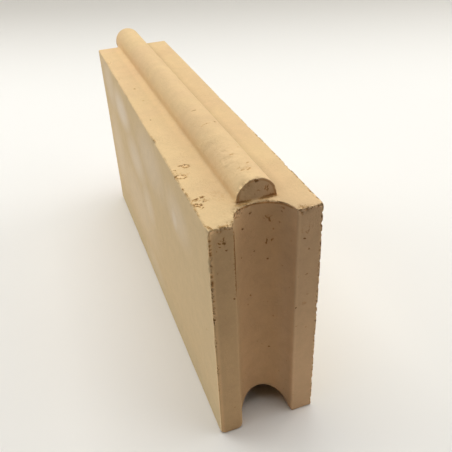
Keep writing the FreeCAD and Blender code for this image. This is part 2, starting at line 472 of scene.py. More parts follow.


# %% [markdown]
# Three kinds of wear are listed, with their places in millimetres. A knock is a single blow,
# with x, y, z, its radius and its depth. A crumbled stretch has broken away grain by grain, with
# x, y, z, its radius and its strength. A nick is a small dark gap in an arris: on the right of the
# top with its y and half length, and on the left of the near end with its z and half length.

# %% Where the edges have suffered
KNOCKS = [
    (-7.5, -121.5, 124.0, 5.5, 1.6), (-2.0, -119.0, 124.0, 4.0, 0.7), (-25.0, -130.0, 124.0, 4.5, 1.3),
    (-5.5, -116.5, 131.0, 4.5, 1.0), (0.5, -116.5, 134.0, 2.2, 0.8), (15.5, -130.0, 124.0, 4.0, 0.9),
    (-14.0, -129.0, 124.0, 4.0, 1.1), (-20.0, -130.0, 124.0, 4.5, 0.6), (25.0, -130.0, 124.0, 2.0, 0.5),
    (-25.0, -130.0, 0.0, 3.0, 0.8), (-12.0, -130.0, 0.0, 4.0, 0.9), (-25.0, 88.0, 124.0, 8.0, 0.6),
    (-25.0, 52.0, 124.0, 7.0, 0.5), (-25.0, 20.0, 124.0, 6.0, 0.5), (-25.0, -44.0, 124.0, 4.0, 0.7),
]
CRUMBLED = [
    (-25.0, -130.0, 103.0, 20.0, 1.0), (-25.0, -130.0, 78.5, 6.0, 1.0), (-25.0, -130.0, 64.0, 6.0, 0.7),
    (-25.0, -130.0, 47.0, 4.0, 0.8), (-25.0, -130.0, 35.5, 4.0, 0.4), (25.0, -130.0, 104.0, 26.0, 1.0),
    (25.0, -130.0, 62.0, 28.0, 1.0), (25.0, -130.0, 20.0, 24.0, 0.7), (25.0, -105.0, 124.0, 30.0, 1.0),
    (25.0, -60.0, 124.0, 32.0, 0.7), (25.0, -10.0, 124.0, 34.0, 0.4), (-25.0, -43.0, 124.0, 6.0, 1.0),
    (-25.0, -84.0, 124.0, 10.0, 0.6), (-25.0, -108.0, 124.0, 14.0, 0.7), (-20.0, -130.0, 124.0, 9.0, 0.8),
    (-9.0, -122.0, 124.0, 9.0, 1.0), (5.0, -119.0, 124.0, 8.0, 0.6), (16.0, -130.0, 124.0, 7.0, 1.0),
    (-5.0, -116.5, 131.0, 7.0, 1.0), (25.0, -130.0, 124.0, 4.0, 1.0), (9.0, -116.5, 125.0, 2.0, 0.7),
]
RIGHT_NICKS = [
    (-65.0, 0.9), (-82.0, 0.7), (-88.0, 1.1), (-96.0, 0.8), (-100.6, 1.3), (-105.5, 1.0), (-112.0, 0.8),
    (-118.0, 1.0), (-125.0, 1.2),
]
LEFT_NICKS = [
    (119.0, 0.6), (116.7, 0.45), (114.9, 0.5), (113.3, 0.6), (112.0, 0.45), (101.6, 0.5), (98.2, 0.6),
    (96.9, 0.45), (88.6, 0.45),
]
RIGHT_NICK_X = 24.3
RIGHT_NICK_Z = 123.5
LEFT_NICK_X = -24.2
NICK_WIDTH = 0.6
NICK_STRENGTH = 0.78


def knock_depth(points):
    """How deep the knocks went: depth * (1 - (d / r)^2)^2 round each, left crumbly."""
    depth = np.zeros(len(points))
    crumbs = 0.6 + 0.8 * lumps(points, 1.5, 11)
    for x, y, z, radius, deepest in KNOCKS:
        away = np.linalg.norm(points - (x, y, z), axis=1) / radius
        depth = np.maximum(depth, deepest * np.clip(1 - away ** 2, 0, None) ** 2)
    return depth * crumbs


def crumbling(points):
    """From 0, a sound edge, to 1, a crumbled one: a few stretches by chance, and the ones listed."""
    amount = 0.4 * step(lumps(points, 17, 3), 0.65, 0.9)
    for x, y, z, radius, strength in CRUMBLED:
        away = np.linalg.norm(points - (x, y, z), axis=1) / radius
        amount = np.maximum(amount, strength * step(away, 1.0, 0.6))
    return amount


def nicks(points):
    """1 in the dark nicks along two arrises: 1.5 down to 0.6 of each one's length and width."""
    listed = []
    for y, length in RIGHT_NICKS:
        listed.append(((RIGHT_NICK_X, y, RIGHT_NICK_Z), (NICK_WIDTH, length, NICK_WIDTH)))
    for z, length in LEFT_NICKS:
        listed.append(((LEFT_NICK_X, near, z), (NICK_WIDTH, NICK_WIDTH, length)))
    amount = np.zeros(len(points))
    for centre, size in listed:
        away = np.linalg.norm((points - centre) / size, axis=1)
        amount = np.maximum(amount, NICK_STRENGTH * step(away, 1.5, 0.6))
    return amount


# %% [markdown]
# Wear goes inwards only, so that the brick never grows past its measured size. Each point moves
# against a normal that has been smoothed over its neighbours. The raw normals fan out round a sharp
# edge, so moving along them would make the faces of a deep chip cross. The smoothed ones do not.
#
# What the material needs to know about a point goes along with the mesh, as marks on its points: how
# crumbly it is, how far it is from an edge, whether it is on a cheek or an end, and the nicks.

# %% Wear the edges down
NORMAL_SMOOTHING = 30
DULLING = 0.4
CHIP_DEPTH = 1.0
RIM_REACH = 9.0
TONGUE_LEAN = 1.1
TONGUE_LEAN_BACK = 2.0
GROOVE_LEAN = 0.5


def read(collection, name, width):
    """One property of every vertex or edge, as an array with that many numbers in a row."""
    kind = np.int32 if name == "vertices" else np.float32
    values = np.zeros(len(collection) * width, kind)
    collection.foreach_get(name, values)
    return values.reshape(-1, width).astype(int if kind is np.int32 else float)


def smoothed_normals(mesh):
    """Vertex normals, averaged again and again with the neighbours along the mesh's edges."""
    normals = read(mesh.vertex_normals, "vector", 3)
    ends = read(mesh.edges, "vertices", 2)
    start = np.concatenate([ends[:, 0], ends[:, 1]])
    end = np.concatenate([ends[:, 1], ends[:, 0]])
    for _ in range(NORMAL_SMOOTHING):
        around = [np.bincount(start, normals[end, axis], len(normals)) for axis in range(3)]
        normals = normals + np.stack(around, axis=1) / 4
        normals /= np.linalg.norm(normals, axis=1, keepdims=True)
    return normals


def edge_wear_depth(points, rim, crumbled):
    """A wavy dulling of every edge, and teeth broken out of its crumbled stretches."""
    waves = 0.6 * step(lumps(points, 9, 6), 0.3, 0.8) + 0.5 * lumps(points, 4, 7)
    teeth = step(lumps(points, 3.2, 4) * 0.25 + lumps(points, 1.4, 5) * 0.75, 0.5, 0.66)
    deep = DULLING * waves + CHIP_DEPTH * teeth * crumbled
    on_tongue = (points[:, 2] > shoulder + TONGUE_STARTS) | (points[:, 1] > far + TONGUE_STARTS)
    return np.clip(np.where(on_tongue, 0.5, 1.0) * deep - 0.8 * rim, 0, None)


def hollow_depth(points):
    """Pressing and firing leave no face quite flat: slow waves of a quarter of a millimetre."""
    return 0.25 * lumps(points, 38, 8) + 0.12 * lumps(points, 13, 9) + 0.05 * lumps(points, 3, 10)


def out_of_true(points):
    """The die was not set square: the tongue runs from 1.1 mm on the right to 0.9 on the left."""
    x, y, z = points.T
    past_groove = step(y, near + groove_depth, stop_y) * step(z, groove_depth, stop_z)
    tongue = TONGUE_LEAN - TONGUE_LEAN_BACK * (y - stop_y) / (tip - stop_y)
    groove = -GROOVE_LEAN * (1 - step(y, near + groove_depth, stop_y)) * step(z, 0, 40)
    moved = points.copy()
    moved[:, 0] += (tongue * past_groove + groove) * (1 - (x / half) ** 2)
    return moved


points = read(brick_mesh.vertices, "co", 3) * PER_METRE
rim = edge_distance(points)
own_face = np.argmin(face_distances(points), axis=0)
crumbled = crumbling(points)
knocked = knock_depth(points)
worn_away = edge_wear_depth(points, rim, crumbled) + knocked
moved_in = worn_away + hollow_depth(points)
worn = out_of_true(points) - smoothed_normals(brick_mesh) * moved_in[:, None]
brick_mesh.vertices.foreach_set("co", (worn / PER_METRE).astype(np.float32).ravel())
crumbly = np.clip(crumbled * step(rim, 1.8, 0.5) + 0.8 * step(knocked, 0.15, 0.6), 0, 1)
marks = {
    "crumbly": crumbly,
    "rim": np.minimum(rim, RIM_REACH),
    "cheek": own_face == 0,
    "end": own_face >= 2,
    "nicked": nicks(points),
}
for name, values in marks.items():
    mark = brick_mesh.attributes.new(name, "FLOAT", "POINT")
    mark.data.foreach_set("value", values.astype(np.float32))
brick_mesh.shade_smooth()
brick_mesh.update()
print(f"deepest wear {worn_away.max():.2f} mm, most that a point moved {moved_in.max():.2f} mm")

# %% [markdown]
# ## Shader maths
#
# A material is a graph of nodes, and a sum in it takes one node for each sign. One small class
# wraps a socket and gives it Python's signs, so that `1 - mask` adds the node by itself. Every other
# node comes from one method, which takes its type, its settings and what goes into its sockets.

# %% A wire and a finish
class Wire:
    """An output socket that can be added, subtracted, multiplied and divided."""

    def __init__(self, finish, socket):
        self.finish = finish
        self.socket = socket

    def __add__(self, other):
        return self.finish.sum("ADD", self, other)

    def __sub__(self, other):
        return self.finish.sum("SUBTRACT", self, other)

    def __rsub__(self, other):
        return self.finish.sum("SUBTRACT", other, self)

    def __mul__(self, other):
        return self.finish.sum("MULTIPLY", self, other)

    def __truediv__(self, other):
        return self.finish.sum("DIVIDE", self, other)

    __radd__ = __add__
    __rmul__ = __mul__


class Finish:
    """The nodes of a material or of the world, in the making."""

    def __init__(self, owner):
        owner.use_nodes = True
        self.tree = owner.node_tree
        self.tree.nodes.clear()

    def node(self, kind, settings, values, output=0):
        """Adds a node, applies its settings, fills its sockets, and returns one of its outputs."""
        made = self.tree.nodes.new("ShaderNode" + kind)
        for name, setting in settings.items():
            setattr(made, name, setting)
        for name, value in values.items():
            if isinstance(value, Wire):
                self.tree.links.new(value.socket, made.inputs[name])
            else:
                made.inputs[name].default_value = value
        return Wire(self, made.outputs[output]) if made.outputs else None

    def sum(self, operation, first, second):
        return self.node("Math", {"operation": operation}, {0: first, 1: second})

    def vector(self, operation, first, second, output=0):
        return self.node("VectorMath", {"operation": operation}, {0: first, 1: second}, output)

    def larger(self, first, second):
        return self.sum("MAXIMUM", first, second)

    def away_from(self, value, middle):
        """How far a value is from the middle, on either side."""
        return self.sum("ABSOLUTE", value - middle, 0.0)

    def fade(self, value, low, high):
        """0 at low and 1 at high, smoothly, and the other way round where low is above high."""
        values = {"Value": value, "From Min": low, "From Max": high}
        return self.node("MapRange", {"interpolation_type": "SMOOTHSTEP"}, values)

    def band(self, value, from_low, low, high, to_high):
        """1 from low to high, fading out to 0 at the two outer limits."""
        return self.fade(value, from_low, low) * self.fade(value, to_high, high)

    def noise(self, place, size, detail=2.0, roughness=0.5):
        """Noise with lumps of that size in millimetres."""
        values = {"Vector": place, "Scale": 1 / size, "Detail": detail, "Roughness": roughness}
        return self.node("TexNoise", {}, values)

    def mix(self, share, first, second, blend="MIX"):
        """A colour between two colours."""
        settings = {"data_type": "RGBA", "blend_type": blend}
        return self.node("Mix", settings, {0: share, 6: first, 7: second}, 2)


def rgb(red, green, blue):
    """A colour written in 0 to 255 as a screen shows it, as the linear colour that nodes take."""
    shown = np.array([red, green, blue]) / 255
    linear = np.where(shown > 0.04045, ((shown + 0.055) / 1.055) ** 2.4, shown / 12.92)
    return (*linear.tolist(), 1.0)


# %% [markdown]
# ## Fired fireclay
#
# Fireclay burns to a buff that drifts between sand and a warmer biscuit. The die leaves it smooth
# on the broad faces and sandy on the ends. Pores are everywhere, and a few marks are large enough to
# be landmarks, so those have places of their own: short lists in millimetres, read off the brick.
# Turns are in degrees, and every row but a flake's ends with a strength.
#
# - A pit is x, y, z and a radius. Noise pushes its outline out of round.
# - A flake is x, y, half length, half width and turn. There the skin has lifted like a small leaf, with
#   a dark crack round it, and its top gets a painted highlight.
# - A scratch is x, y, z, half length, half width and turn, in the top or in the near end. The long thin
#   strokes along the foot of the tongue's end and under the groove's rim are painted shadow lines.
# - A tear is x, y, z and a radius. Where grog, the coarse fired grain in the clay, lay too near the
#   surface, the skin has torn into fine crooked cracks. Noise has such lines in it: the places where
#   it passes through its middle value. A second noise breaks them into strokes.
# - A wrinkle is x, y, z and a radius, where the clay's skin dragged in the die.

# %% Pits, flakes, scratches, tears and wrinkles
PITS = [
    (-17.6, 30.3, 124.0, 0.6, 0.6), (-17.1, 9.7, 124.0, 0.5, 0.4), (-19.7, -19.1, 124.0, 0.5, 0.9),
    (-2.6, -118.3, 119.2, 0.45, 1.0), (-6.6, -119.8, 113.4, 0.65, 1.0), (-7.6, -120.4, 99.2, 0.4, 0.7),
    (-1.0, -118.0, 99.3, 0.35, 0.8), (4.7, -118.9, 94.4, 0.4, 0.7), (10.1, -122.7, 91.6, 0.4, 0.5),
    (-3.4, -118.4, 75.5, 0.4, 0.5), (5.3, -119.1, 40.4, 0.5, 0.6), (13.6, -129.8, 71.9, 0.4, 1.0),
    (16.5, -130.0, 109.1, 0.45, 1.0), (18.6, -130.0, 103.0, 0.4, 0.6), (18.2, -130.0, 89.8, 0.35, 0.6),
    (17.6, -130.0, 73.2, 0.9, 0.25), (-17.5, -130.0, 112.9, 0.4, 0.9), (-15.2, -130.0, 87.0, 0.4, 0.8),
    (0.9, -116.5, 132.7, 0.8, 1.0), (-24.3, -130.0, 84.4, 0.5, 0.9), (-24.3, -130.0, 78.0, 0.5, 0.9),
    (-25.0, -118.0, 62.0, 0.6, 0.5), (-19.6, -109.2, 124.0, 0.4, 1.0), (8.9, -121.4, 114.2, 0.4, 0.5),
]
FLAKES = [
    (-17.6, -76.7, 1.8, 1.3, -18), (-22.1, -85.6, 2.6, 1.6, -24), (-22.3, -110.8, 1.6, 1.0, -27),
]
TOP_SCRATCHES_AND_SHADOWS = [
    (-23.0, -78.8, 124.0, 1.1, 0.35, -57, 0.7), (-22.0, -106.1, 124.0, 1.3, 0.5, 16, 0.9),
    (-19.1, -105.6, 124.0, 1.8, 0.4, 17, 0.9), (-21.3, -113.3, 124.0, 1.0, 0.4, 36, 0.8),
    (-19.2, -105.4, 124.0, 1.2, 0.4, -65, 0.8), (-4.5, -117.4, 124.0, 5.0, 0.6, -4, 0.5),
    (-24.7, -84.5, 124.0, 1.5, 0.5, -80, 0.9), (-22.8, -87.0, 124.0, 1.6, 0.4, -24, 0.7),
    (-19.6, -75.7, 124.0, 1.2, 0.5, -15, 0.8), (-17.8, -78.2, 124.0, 1.2, 0.4, -20, 0.7),
    (-22.6, -81.6, 124.0, 1.0, 0.3, 40, 0.4), (-22.8, -111.6, 124.0, 1.3, 0.5, -20, 0.8),
    (-23.2, -127.3, 123.4, 2.4, 0.4, -58, 0.7), (-1.5, -39.8, 133.7, 1.6, 0.35, -6, 0.8),
    (-1.0, -57.9, 133.7, 2.2, 0.3, -2, 0.5), (3.6, -56.6, 132.9, 2.0, 0.35, 33, 0.7),
    (-3.4, -58.3, 133.2, 1.5, 0.3, -15, 0.3), (-2.4, -66.6, 133.7, 1.0, 0.4, -76, 0.4),
    (-1.3, -92.6, 133.8, 1.4, 0.4, -12, 0.5), (4.3, -86.0, 132.7, 2.4, 0.3, 41, 0.3),
    (2.7, -102.3, 133.5, 1.1, 0.4, 34, 0.5), (-1.6, -107.2, 133.8, 0.9, 0.45, -6, 0.55),
    (0.3, -108.3, 134.0, 0.6, 0.4, -46, 0.55), (1.6, -107.4, 133.8, 1.1, 0.4, 34, 0.5),
    (-7.9, -95.3, 129.4, 2.2, 0.4, -76, 0.3), (-24.6, -117.5, 124.0, 1.2, 0.4, 85, 0.6),
    (-24.4, -43.5, 123.7, 1.4, 0.5, 80, 0.9), (-24.3, -101.0, 123.7, 1.0, 0.5, 70, 0.9),
    (-24.4, -96.0, 123.7, 0.8, 0.4, 90, 0.8),
]
END_SCRATCHES_AND_SHADOWS = [
    (4.8, -116.5, 128.7, 1.0, 0.35, -97, 0.6), (5.8, -116.5, 128.2, 1.3, 0.4, -98, 0.9),
    (1.8, -116.5, 128.0, 1.0, 0.3, -20, 0.4), (-4.6, -116.5, 124.3, 3.4, 0.6, -6, 0.7),
    (6.4, -116.5, 124.3, 4.2, 0.8, 3, 0.7), (-18.5, -130.0, 117.9, 1.5, 0.35, -107, 1.0),
    (-18.3, -130.0, 116.3, 1.0, 0.4, -32, 1.0), (-20.2, -130.0, 116.7, 0.7, 0.35, -38, 0.9),
    (-20.6, -130.0, 115.0, 0.7, 0.35, 13, 0.8), (4.2, -118.7, 116.3, 1.1, 0.35, -41, 0.6),
    (5.4, -119.2, 114.7, 1.5, 0.4, -71, 0.7), (4.3, -118.7, 103.6, 1.6, 0.4, -92, 0.8),
    (6.5, -119.7, 104.7, 0.9, 0.4, 43, 0.7), (-13.9, -129.7, 106.0, 17.0, 0.45, 90, 0.8),
    (9.5, -122.6, 121.6, 4.5, 0.5, -20, 0.5),
]
TEARS = [
    (-20.7, -107.5, 124.0, 5.0, 0.6), (-22.0, -83.0, 124.0, 6.0, 0.25), (-14.0, -107.0, 124.0, 7.0, 0.2),
    (-1.0, -105.0, 134.0, 4.0, 0.3), (-19.3, -130.0, 116.3, 3.0, 0.4), (4.8, -118.9, 115.0, 3.5, 0.3),
    (5.0, -119.0, 104.5, 2.5, 0.3), (17.3, -130.0, 113.5, 3.5, 0.5), (16.0, -128.0, 122.5, 3.5, 0.6),
]
WRINKLES = [
    (-1.0, -92.0, 134.0, 14.0, 1.0), (-3.0, -74.0, 133.5, 12.0, 0.7), (-7.5, -96.0, 129.0, 10.0, 0.6),
    (0.0, -108.0, 134.0, 9.0, 0.8), (-2.0, -52.0, 134.0, 10.0, 0.4), (-14.0, -106.0, 124.0, 9.0, 0.5),
]

# %% [markdown]
# Each list becomes one mask, from 0 to 1: the largest of what its entries give at a place. The
# measuring is done in the part's own millimetres, so a mark stays where it is on the brick from
# whatever side it is seen.

# %% Masks from the lists
def distance_to(finish, place, centre):
    """How far the place is from a centre, in millimetres."""
    return finish.vector("DISTANCE", place, centre, 1)


def round_mask(finish, place, marks, outer, inner):
    """How strong the listed round marks are: full within inner radii of a centre, 0 past outer."""
    mask = 0.0
    for x, y, z, radius, strength in marks:
        distance = distance_to(finish, place, (x, y, z))
        mask = finish.larger(finish.fade(distance, outer * radius, inner * radius) * strength, mask)
    return mask


def flake_masks(finish, place):
    """1 along the outline of each lifted flake on the top, and 1 inside: where two discs overlap.

    Discs of radius R, each h off the middle, overlap in a lens with half length a and half width b,
    where R + h = a^2 / b and R - h = b.
    """
    outline = 0.0
    inside = 0.0
    for x, y, half_length, half_width, turn in FLAKES:
        sum_of_both = half_length ** 2 / half_width
        radius = (sum_of_both + half_width) / 2
        offset = (sum_of_both - half_width) / 2
        step_x = -offset * math.sin(math.radians(turn))
        step_y = offset * math.cos(math.radians(turn))
        first = distance_to(finish, place, (x + step_x, y + step_y, shoulder))
        second = distance_to(finish, place, (x - step_x, y - step_y, shoulder))
        from_both = finish.larger(first, second)
        edge = finish.fade(finish.away_from(from_both, radius), 0.65, 0.15)
        outline = finish.larger(edge, outline)
        inside = finish.larger(finish.fade(from_both, radius - 0.1, radius - 0.8), inside)
    return outline, inside


def stroke_mask(finish, place, scratches_and_shadows, axis):
    """1 in short strokes: long thin ellipsoids, each turned in its face, about the face's axis."""
    mask = 0.0
    for x, y, z, half_length, half_width, turn, strength in scratches_and_shadows:
        rotation = tuple(math.radians(turn) * np.array(axis))
        scale = (half_length, half_width, half_width)
        values = {"Vector": place, "Location": (x, y, z), "Rotation": rotation, "Scale": scale}
        measured = finish.node("Mapping", {"vector_type": "TEXTURE"}, values)
        distance = distance_to(finish, measured, (0, 0, 0))
        mask = finish.larger(finish.fade(distance, 1.5, 0.6) * strength, mask)
    return mask


# %% [markdown]
# The left face has pale soft patches where other bricks have rubbed it. A patch is y, z, half width,
# half height and strength. Ellipses are enough, because their edges are so soft that the noise in the
# place bends them.

# %% Pale marks on the left face
BLOOMS = [
    (50.0, 104.0, 26.0, 13.0, 0.95), (18.0, 84.0, 26.0, 15.0, 0.65), (-6.0, 64.0, 16.0, 16.0, 0.55),
    (-75.0, 96.0, 6.5, 8.0, 0.85), (-80.0, 100.0, 22.0, 14.0, 0.45), (88.0, 108.0, 22.0, 18.0, 0.5),
    (-28.0, 104.0, 34.0, 18.0, 0.45), (35.0, 45.0, 60.0, 26.0, 0.35), (0.0, 12.0, 26.0, 14.0, 0.35),
    (88.0, 56.0, 26.0, 34.0, 0.4),
]


def bloom_mask(finish, place):
    """Soft ellipses on the left face, where it was rubbed: 1 - distance, with each radius as 1."""
    mask = 0.0
    for y, z, wide, high, strength in BLOOMS:
        offset = finish.vector("SUBTRACT", place, (-half, y, z))
        scaled = finish.vector("MULTIPLY", offset, (1 / wide, 1 / wide, 1 / high))
        distance = distance_to(finish, scaled, (0, 0, 0))
        mask = finish.larger(finish.fade(distance, 1.3, 0.2) * strength, mask)
    return mask


# %% [markdown]
# Colours are written as a screen shows them, and the noises' sizes are in millimetres, from the slow
# drift of the firing down to the grain of the sand.

# %% Colours and noise sizes
TOP_SAND = rgb(231, 200, 150)
TOP_BISCUIT = rgb(228, 195, 148)
# The cheeks' clay, and still more the ends' and the groove's, is darker than the top's as painted shade:
# those faces get less light.
SHADED_CHEEK_CLAY = rgb(214, 188, 146)
CHEEK_FOOT = rgb(205, 185, 145)
RUBBED_CLAY = rgb(230, 212, 188)
SHADED_END_CLAY_LEFT = rgb(188, 154, 113)
SHADED_END_CLAY_RIGHT = rgb(188, 154, 118)
SHADED_GROOVE_CLAY = rgb(193, 155, 114)
# Painted shade for the tunnel under the brick.
TUNNEL_SHADE = rgb(96, 90, 86)
# Brown for pits, cracks and other marks, also laid on the painted shadow lines.
MARK_AND_SHADOW_BROWN = rgb(110, 73, 34)
STAIN_AND_SHADE = (0.74, 0.57, 0.36, 1.0)

DRIFT_SIZE = 42
RUBBING_SIZE = 28
SCUFF_SIZE = 12
MOTTLE_SIZE = 6
WRINKLE_SIZE = 4.0
CRACK_SIZE = 2.6
PORE_SPACING = 2.4
STROKE_SIZE = 1.9
OUTLINE_SIZE = 1.4
CRUMB_SIZE = 1.1
GRAIN_SIZE = 0.8
RAGGED_SCALE = 1.1
RAGGED_PUSH = (1.6, 1.6, 1.6)
PIT_FADE = (1.5, 0.8)
PATCH_FADE = (1.0, 0.4)

WRINKLE_RELIEF = 1.15
CRUMB_RELIEF = 1.3
BUMP_STRENGTH = 0.85

# %% [markdown]
# ## The clay in layers
#
# The finish is made in layers. First come the place on the brick and the noises that the rest leans
# on. Then the marks, the colour of each face, darkened with painted shade on the cheeks and ends, the
# painted light and shade over it together with the sandy grain, and then painted shade in the tunnel
# under the brick and brown in every mark and painted shadow line. The relief comes last and goes
# through a bump. Only marks with some depth are in it: a bump works out all that leads to it three
# times over, and a material has room for only so much.

# %% The fireclay finish
class Clay(Finish):
    """The brick's finish. Each method adds a layer, and keeps what later layers need."""

    def mark(self, name):
        """One of the marks that the mesh carries."""
        return self.node("Attribute", {"attribute_name": name}, {}, "Fac")

    def find_place(self):
        """Where on the brick a point is, in millimetres, and on which face."""
        position = self.node("TexCoord", {}, {}, "Object")
        self.place = self.vector("MULTIPLY", position, (PER_METRE, PER_METRE, PER_METRE))
        self.crumbly = self.mark("crumbly")
        self.rim = self.mark("rim")
        self.cheek = self.mark("cheek")
        self.end = self.mark("end")
        self.nicked = self.mark("nicked")
        self.across = self.node("SeparateXYZ", {}, {0: self.place}, "X")
        self.along = self.node("SeparateXYZ", {}, {0: self.place}, "Y")
        self.height = self.node("SeparateXYZ", {}, {0: self.place}, "Z")

    def add_noises(self):
        """A place that noise has bent, for ragged outlines, and the noises that several layers use."""
        values = {"Vector": self.place, "Scale": RAGGED_SCALE, "Detail": 2.0}
        ragged = self.node("TexNoise", {}, values, "Color")
        centred = self.vector("SUBTRACT", ragged, (0.5, 0.5, 0.5))
        self.pushed = self.vector("MULTIPLY", centred, RAGGED_PUSH)
        self.bent = self.vector("ADD", self.place, self.pushed)
        self.drift = self.noise(self.place, DRIFT_SIZE, 2.0)
        self.mottle = self.noise(self.place, MOTTLE_SIZE, 3.0, 0.6)
        self.grain = self.noise(self.place, GRAIN_SIZE, 3.0, 0.7)
        self.crumble = self.noise(self.place, CRUMB_SIZE, 3.0, 0.65)

    def find_marks(self):
        """Pores, cracks, lifted flakes, scratches and pits."""
        voronoi = {"Vector": self.bent, "Scale": 1 / PORE_SPACING}
        pore_distance = self.node("TexVoronoi", {}, voronoi, "Distance")
        pore_colour = self.node("TexVoronoi", {}, voronoi, "Color")
        pore_pick = self.node("SeparateColor", {}, {0: pore_colour}, 0)
        pores = self.fade(pore_distance, 0.2, 0.1) * self.fade(pore_pick, 0.8, 0.86)
        pores = pores * (0.12 + self.end * 0.28)

        self.torn = round_mask(self, self.bent, TEARS, *PATCH_FADE)
        crooked = self.noise(self.bent, CRACK_SIZE, 2.0, 0.6)
        from_line = self.away_from(crooked, 0.5)
        broken = self.fade(self.noise(self.bent, STROKE_SIZE, 1.0), 0.42, 0.54)
        self.cracks = self.fade(from_line, 0.06, 0.02) * broken * self.torn
        thin_or_thick = self.fade(self.noise(self.place, OUTLINE_SIZE, 1.0), 0.38, 0.6)
        flake_edge, self.flake_top_highlight = flake_masks(self, self.vector("ADD", self.bent, self.pushed))
        self.flakes = flake_edge * (0.42 + 0.6 * thin_or_thick)
        self.scratches_and_shadows = self.larger(
            stroke_mask(self, self.bent, TOP_SCRATCHES_AND_SHADOWS, (0, 0, 1)),
            stroke_mask(self, self.bent, END_SCRATCHES_AND_SHADOWS, (0, -1, 0)),
        )
        self.pits = self.larger(round_mask(self, self.bent, PITS, *PIT_FADE), pores)

    def find_chips(self):
        """Chips and crumbs along the crumbled edges, and all that is dark taken together."""
        self.on_top = (1 - self.end) * (1 - self.cheek)
        self.raised = self.fade(self.height, shoulder + 0.3, shoulder + 1)
        along_right = self.fade(self.across, half - 2.5, half - 1) * self.on_top
        at_the_lip = self.fade(self.along, stop_y + 4.5, stop_y + 0.5)
        self.at_the_lip = at_the_lip * self.on_top * (1 - self.raised)
        chipping = 0.45 * (1 - self.cheek) + 0.55 * self.end + 0.45 * along_right
        chipping = chipping + 0.3 * self.at_the_lip
        from_corner = distance_to(self, self.place, (-half, near, shoulder))
        self.broken_corner_and_light = self.fade(from_corner, 6.0, 3.0)
        chipping = chipping - self.raised * (0.3 + 0.35 * self.end)
        chipping = chipping * (1 - 0.75 * self.broken_corner_and_light)
        uneven = self.crumble + (self.mottle - 0.5) * 0.5
        self.chips = self.fade(uneven, 0.53, 0.6) * self.crumbly * chipping
        self.crumbs = self.fade(self.crumble, 0.49, 0.42) * self.crumbly
        # Painted shade: a dark line just under the groove's top rim, where the rim shades the groove.
        shade_under_rim = self.fade(self.away_from(self.rim, 0.9), 0.8, 0.2)
        shade_under_rim = shade_under_rim * self.fade(self.height, shoulder - 6, shoulder - 3)
        in_the_groove = self.band(self.along, near + 2, near + 4, stop_y - 0.5, stop_y + 1.5)
        shade_under_rim = shade_under_rim * in_the_groove * self.end
        dark = self.larger(self.pits, self.scratches_and_shadows)
        dark = self.larger(dark, self.larger(self.chips, shade_under_rim * 0.5))
        self.dark = self.larger(self.larger(dark, self.nicked), self.larger(self.cracks, self.flakes))

    def fired_colour(self):
        """The clay's colour on the top, cheeks, ends and near groove, with painted shade on all but the
        top.
        """
        biscuit = self.fade(self.drift, 0.35, 0.65)
        top_clay = self.mix(biscuit, TOP_SAND, TOP_BISCUIT)
        rubbed = self.fade(self.noise(self.place, RUBBING_SIZE, 2.0), 0.52, 0.72)
        rubbed = rubbed * self.fade(self.across, 0, 1) * 0.35
        rubbed = self.larger(bloom_mask(self, self.bent), rubbed)
        shaded_cheek_clay = self.mix(rubbed, SHADED_CHEEK_CLAY, RUBBED_CLAY)
        shaded_cheek_clay = self.mix(self.fade(self.height, 26, 4) * 0.6, shaded_cheek_clay, CHEEK_FOOT)
        clay = self.mix(self.cheek, top_clay, shaded_cheek_clay)
        # Painted shade: the ends and the underside take a darker copy of the clay, for the little light
        # that the near end gets.
        shaded_end_clay = self.mix(self.fade(self.across, -14, 14), SHADED_END_CLAY_LEFT, SHADED_END_CLAY_RIGHT)
        in_groove = self.fade(self.along, near + 5, near + 11) * (1 - self.raised)
        shaded_end_clay = self.mix(in_groove, shaded_end_clay, SHADED_GROOVE_CLAY)
        return self.mix(self.end, clay, shaded_end_clay)

    def painted_light_and_grain(self):
        """Painted light and shade, with the clay's grain and crumbs: a factor around 1 on the colour."""
        across = self.across
        along = self.along
        on_land = self.fade(along, near + 3, near + 0.4) * self.end
        to_the_foot = self.fade(self.height, 105, 5)
        rightwards = self.fade(across, -20, 12)
        # Painted light: the ends and the cheeks grow paler towards the foot, the near end's lands most
        # and more so on the right, as if lit from the floor.
        painted_light_at_foot = 0.04 + self.end * 0.08 + on_land * (0.04 + 0.15 * rightwards)
        painted_light_at_foot = to_the_foot * painted_light_at_foot
        # Painted light: the near end paler towards the right, and the tongue's flat end paler than the
        # end below it.
        painted_light_rightwards = rightwards * 0.06 + self.fade(self.height, shoulder - 0.5, shoulder + 0.5) * 0.09
        painted_light_rightwards = painted_light_rightwards * self.end
        from_middle = across + along * 0.008
        root_shade = self.band(from_middle, 6.5, 9.5, 10.8, 16.0) * self.on_top
        root_shade = root_shade * (0.16 + self.fade(along, -60, -110) * 0.03)
        beside_root = self.fade(self.away_from(from_middle, -10.5), 3.5, 1.0)
        far_light = beside_root * self.fade(along, -70, -20)
        near_light = self.raised * self.fade(along, -70, -100) * 0.06
        far_left = self.fade(along, 0, 90) * self.fade(across, 5, -10) * (1 - self.raised)
        far_light = (far_light * 0.06 + far_left * 0.05 + near_light) * self.on_top
        # Painted light on the right of the strip of shoulder in front of the tongue's end.
        painted_light_before_tongue = self.at_the_lip * self.band(across, -4, 5, 11, 17) * 0.14
        near_shade = self.fade(along, -105, -120) * self.fade(across, 0, -12) * self.on_top * 0.05
        # Painted highlight on the near end along the groove's right lip.
        painted_lip_highlight = self.fade(self.away_from(across, 13.9), 0.9, 0.4) * self.end * 0.06
        sandy = (self.mottle - 0.5) * (0.16 + self.end * 0.1) + (self.grain - 0.5) * 0.2
        sandy = sandy + self.cracks * 0.1
